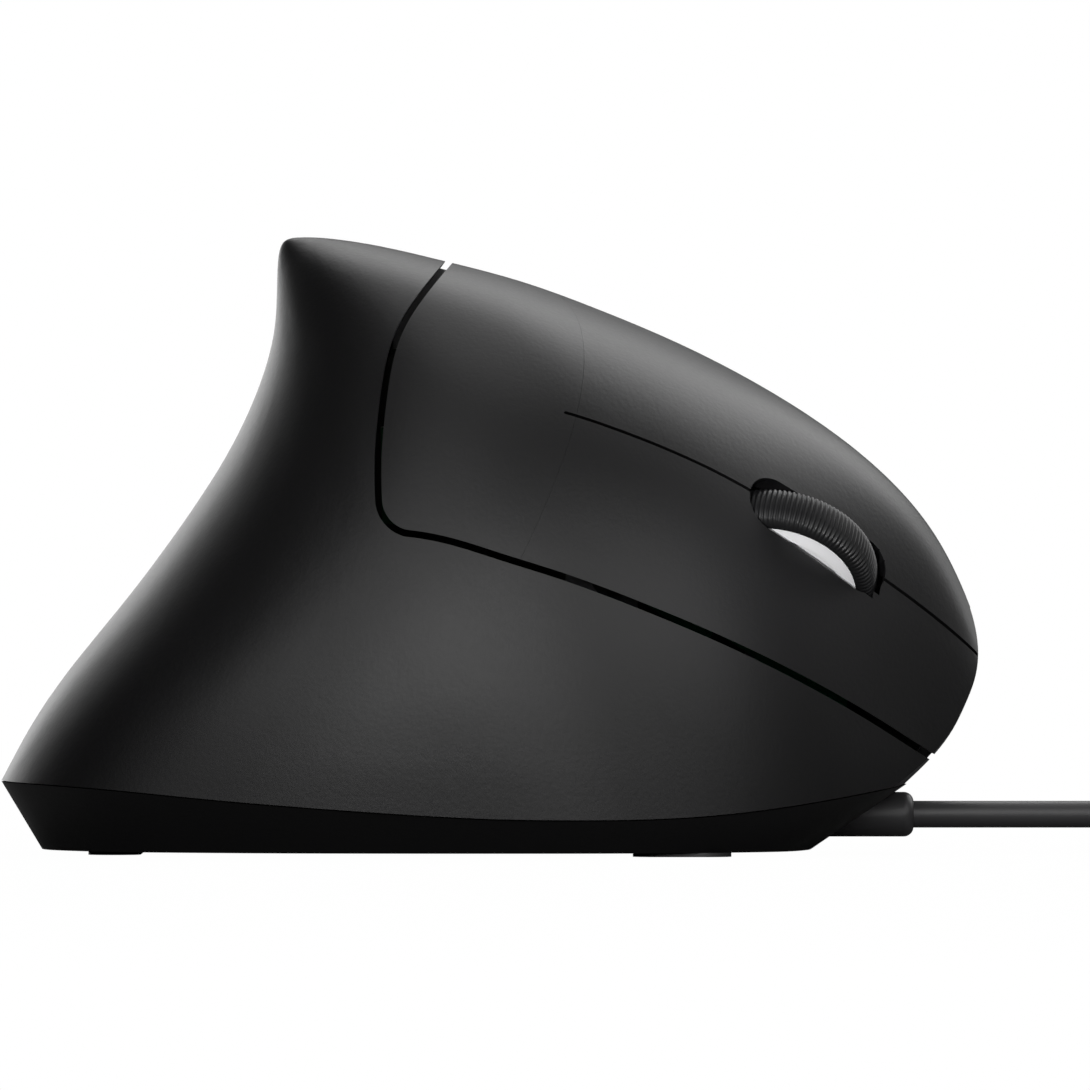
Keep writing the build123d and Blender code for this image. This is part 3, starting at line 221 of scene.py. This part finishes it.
def add_tyre():
    """Rubber ring with rounded ribs along the axle on a crowned tread."""
    profile = tyre_profile()
    around = RIB_COUNT * STEPS_PER_RIB
    points = []
    for turn in range(around):
        angle = 2 * math.pi * turn / around
        hollow = 1 - abs(math.cos(math.pi * turn / STEPS_PER_RIB))
        for radius, aside, depth in profile:
            ribbed = radius - RIB_DEPTH * hollow * depth
            points.append(wheel_point(angle, ribbed, aside))
    rows = len(profile)
    faces = []
    for turn in range(around):
        here = turn * rows
        there = (turn + 1) % around * rows
        for row in range(rows):
            above = (row + 1) % rows
            faces.append((here + row, there + row, there + above, here + above))
    mesh = bpy.data.meshes.new("tyre_ribs")
    mesh.from_pydata(points, [], faces)
    mesh.update()
    mesh.shade_smooth()
    tyre = bpy.data.objects.new("tyre_ribs", mesh)
    bpy.context.scene.collection.objects.link(tyre)
    return tyre


tyre = add_tyre()
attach(tyre, WHEEL_BODY)
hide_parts("wheel_tyre")

# Materials: colour and roughness, then metal and specular level where they differ
# from the default

LOOKS = {
    "shell_black": ((0.0045, 0.0043, 0.0048), 0.44),
    "key_black": ((0.0045, 0.0043, 0.0048), 0.44),
    "base_black": ((0.0030, 0.0029, 0.0032), 0.44),
    "foot_slick": ((0.0300, 0.0300, 0.0310), 0.40),
    "tyre_rubber": ((0.0080, 0.0080, 0.0085), 0.42, 0.0, 0.35),
    "hub_silver": ((0.86, 0.86, 0.87), 0.25),
    "axle_steel": ((0.55, 0.55, 0.57), 0.30, 1.0),
    "frame_plastic": ((0.060, 0.060, 0.065), 0.45),
    "board_green": ((0.012, 0.100, 0.040), 0.30),
    "switch_black": ((0.020, 0.020, 0.022), 0.40),
    "plunger_white": ((0.70, 0.69, 0.66), 0.40),
    "screw_steel": ((0.52, 0.52, 0.54), 0.30, 1.0),
    "sensor_black": ((0.012, 0.012, 0.013), 0.30),
    "lens_clear": ((0.90, 0.93, 0.95), 0.05),
    "lamp_red": ((0.45, 0.03, 0.02), 0.20),
    "connector_white": ((0.68, 0.67, 0.62), 0.42),
    "cord_black": ((0.0460, 0.0450, 0.0470), 0.46),
    "plug_steel": ((0.58, 0.58, 0.60), 0.28, 1.0),
}
GRAINED = ("shell_black", "key_black", "base_black")
GRAIN_DETAIL = 3.0
SHELL_GRAIN = {"size": 0.55, "strength": 0.35, "depth": 0.05, "patch": 0.03}
CORD_GRAIN = {"size": 0.8, "strength": 0.2, "depth": 0.05}
LENS_CLEARNESS = 0.9
LENS_IOR = 1.5


def base_material(name, color, rough, metal=0.0, specular=0.5):
    """A plain surface, its colour and roughness written as they render."""
    material = bpy.data.materials.new(name)
    material.use_nodes = True
    shader = material.node_tree.nodes["Principled BSDF"]
    shader.inputs["Base Color"].default_value = (*color, 1.0)
    shader.inputs["Roughness"].default_value = rough
    shader.inputs["Metallic"].default_value = metal
    shader.inputs["Specular IOR Level"].default_value = specular
    return material


def add_grain(material, size, strength, depth, patch=0.0):
    """Fine moulded texture in the surface, and a little unevenness in its sheen."""
    tree = material.node_tree
    shader = tree.nodes["Principled BSDF"]
    place = tree.nodes.new("ShaderNodeTexCoord")
    noise = tree.nodes.new("ShaderNodeTexNoise")
    noise.inputs["Scale"].default_value = 1 / (size * MM)
    noise.inputs["Detail"].default_value = GRAIN_DETAIL
    bump = tree.nodes.new("ShaderNodeBump")
    bump.inputs["Strength"].default_value = strength
    bump.inputs["Distance"].default_value = depth * MM
    tree.links.new(place.outputs["Object"], noise.inputs["Vector"])
    tree.links.new(noise.outputs["Fac"], bump.inputs["Height"])
    tree.links.new(bump.outputs["Normal"], shader.inputs["Normal"])
    if patch:
        rough = shader.inputs["Roughness"].default_value
        spread = tree.nodes.new("ShaderNodeMapRange")
        spread.inputs["To Min"].default_value = rough - patch
        spread.inputs["To Max"].default_value = rough + patch
        tree.links.new(noise.outputs["Fac"], spread.inputs["Value"])
        tree.links.new(spread.outputs["Result"], shader.inputs["Roughness"])


def make_clear(material):
    """Clear moulded plastic."""
    shader = material.node_tree.nodes["Principled BSDF"]
    shader.inputs["Transmission Weight"].default_value = LENS_CLEARNESS
    shader.inputs["IOR"].default_value = LENS_IOR


materials = {name: base_material(name, *look) for name, look in LOOKS.items()}
for name in GRAINED:
    add_grain(materials[name], **SHELL_GRAIN)
add_grain(materials["cord_black"], **CORD_GRAIN)
make_clear(materials["lens_clear"])

for entry in frame["record"]["subparts"]:
    piece = nodes[entry["node"]]
    piece.data.materials.clear()
    piece.data.materials.append(materials[entry["material_slot"]])
cord.data.materials.append(materials["cord_black"])
tyre.data.materials.append(materials["tyre_rubber"])

# Soft studio light: places in metres, powers in watts

MIDDLE = Vector((0.0, 0.0, 0.04))
SOFTBOX_SIDE = 0.5
SOFTBOXES = {
    "front": ((0.0, -0.90, 0.30), 3.0),
    "front_rear": ((-0.55, -0.60, 0.40), 0.5),
    "front_rear_high": ((-0.30, -0.60, 0.60), 1.0),
    "front_nose": ((0.55, -0.60, 0.40), 1.5),
    "top": ((0.0, 0.0, 0.95), 1.0),
    "thumb_high": ((0.0, 0.60, 0.70), 2.0),
    "thumb_nose_high": ((0.45, 0.45, 0.65), 3.0),
    "thumb_nose": ((0.75, 0.55, 0.25), 1.5),
    "rim_narrow": ((-0.30, 0.90, 0.10), 2.0),
    "rim_wide": ((-0.50, 0.80, 0.30), 0.5),
}
HUB_SPOT_PLACE = (-0.05, -0.60, 0.02)
HUB_SPOT_POWER = 16.0
HUB_SPOT_ANGLE = 2.6
HUB_SPOT_BLEND = 0.6
HUB_SPOT_RADIUS = 0.01


def add_softbox(name, place, power):
    """One softbox, its face turned to the middle of the mouse."""
    data = bpy.data.lights.new(name, "AREA")
    data.shape = "SQUARE"
    data.size = SOFTBOX_SIDE
    data.energy = power
    lamp = bpy.data.objects.new(name, data)
    lamp.location = place
    face_towards(lamp, MIDDLE)
    bpy.context.scene.collection.objects.link(lamp)


def add_hub_spot():
    """A narrow low spot on the wheel, for the light that white surroundings throw up."""
    data = bpy.data.lights.new("hub_spot", "SPOT")
    data.energy = HUB_SPOT_POWER
    data.spot_size = math.radians(HUB_SPOT_ANGLE)
    data.spot_blend = HUB_SPOT_BLEND
    data.shadow_soft_size = HUB_SPOT_RADIUS
    lamp = bpy.data.objects.new("hub_spot", data)
    lamp.location = HUB_SPOT_PLACE
    face_towards(lamp, mm(*WHEEL_MIDDLE))
    bpy.context.scene.collection.objects.link(lamp)


for name, (place, power) in SOFTBOXES.items():
    add_softbox(name, place, power)
add_hub_spot()

# Floor and surroundings: white to the camera, dim or dark to everything else

FLOOR_SIDE = 1.2
FLOOR_DROP = 0.00001
FLOOR_PALE = (0.9, 0.9, 0.9, 1)
FLOOR_DIM = (0.10, 0.10, 0.10, 1)
FLOOR_SHADOW = 0.012
WHITE = (1, 1, 1, 1)
BLACK = (0.0, 0.0, 0.0, 1)


def split_by_camera(tree, others, camera, surface):
    """One shader for the camera's own rays, and another for all the rest."""
    path = tree.nodes.new("ShaderNodeLightPath")
    mix = tree.nodes.new("ShaderNodeMixShader")
    tree.links.new(path.outputs["Is Camera Ray"], mix.inputs["Fac"])
    tree.links.new(others.outputs[0], mix.inputs[1])
    tree.links.new(camera.outputs[0], mix.inputs[2])
    tree.links.new(mix.outputs[0], surface)


def add_floor():
    """Wide floor, white with a faint shadow to the camera, dim to the rest."""
    bpy.ops.mesh.primitive_plane_add(size=FLOOR_SIDE, location=(0, 0, -FLOOR_DROP))
    floor = bpy.context.object
    floor.name = "floor"
    material = bpy.data.materials.new("floor")
    material.use_nodes = True
    tree = material.node_tree
    tree.nodes.clear()
    out = tree.nodes.new("ShaderNodeOutputMaterial")
    white = tree.nodes.new("ShaderNodeEmission")
    pale = tree.nodes.new("ShaderNodeBsdfDiffuse")
    dim = tree.nodes.new("ShaderNodeBsdfDiffuse")
    both = tree.nodes.new("ShaderNodeMixShader")
    pale.inputs["Color"].default_value = FLOOR_PALE
    dim.inputs["Color"].default_value = FLOOR_DIM
    both.inputs["Fac"].default_value = FLOOR_SHADOW
    tree.links.new(white.outputs[0], both.inputs[1])
    tree.links.new(pale.outputs[0], both.inputs[2])
    split_by_camera(tree, dim, both, out.inputs["Surface"])
    floor.data.materials.append(material)


def set_world():
    """White to the camera, and no light at all to everything else."""
    world = bpy.data.worlds.new("room")
    bpy.context.scene.world = world
    world.use_nodes = True
    tree = world.node_tree
    tree.nodes.clear()
    out = tree.nodes.new("ShaderNodeOutputWorld")
    white = tree.nodes.new("ShaderNodeBackground")
    room = tree.nodes.new("ShaderNodeBackground")
    white.inputs["Color"].default_value = WHITE
    room.inputs["Color"].default_value = BLACK
    split_by_camera(tree, room, white, out.inputs["Surface"])


add_floor()
set_world()
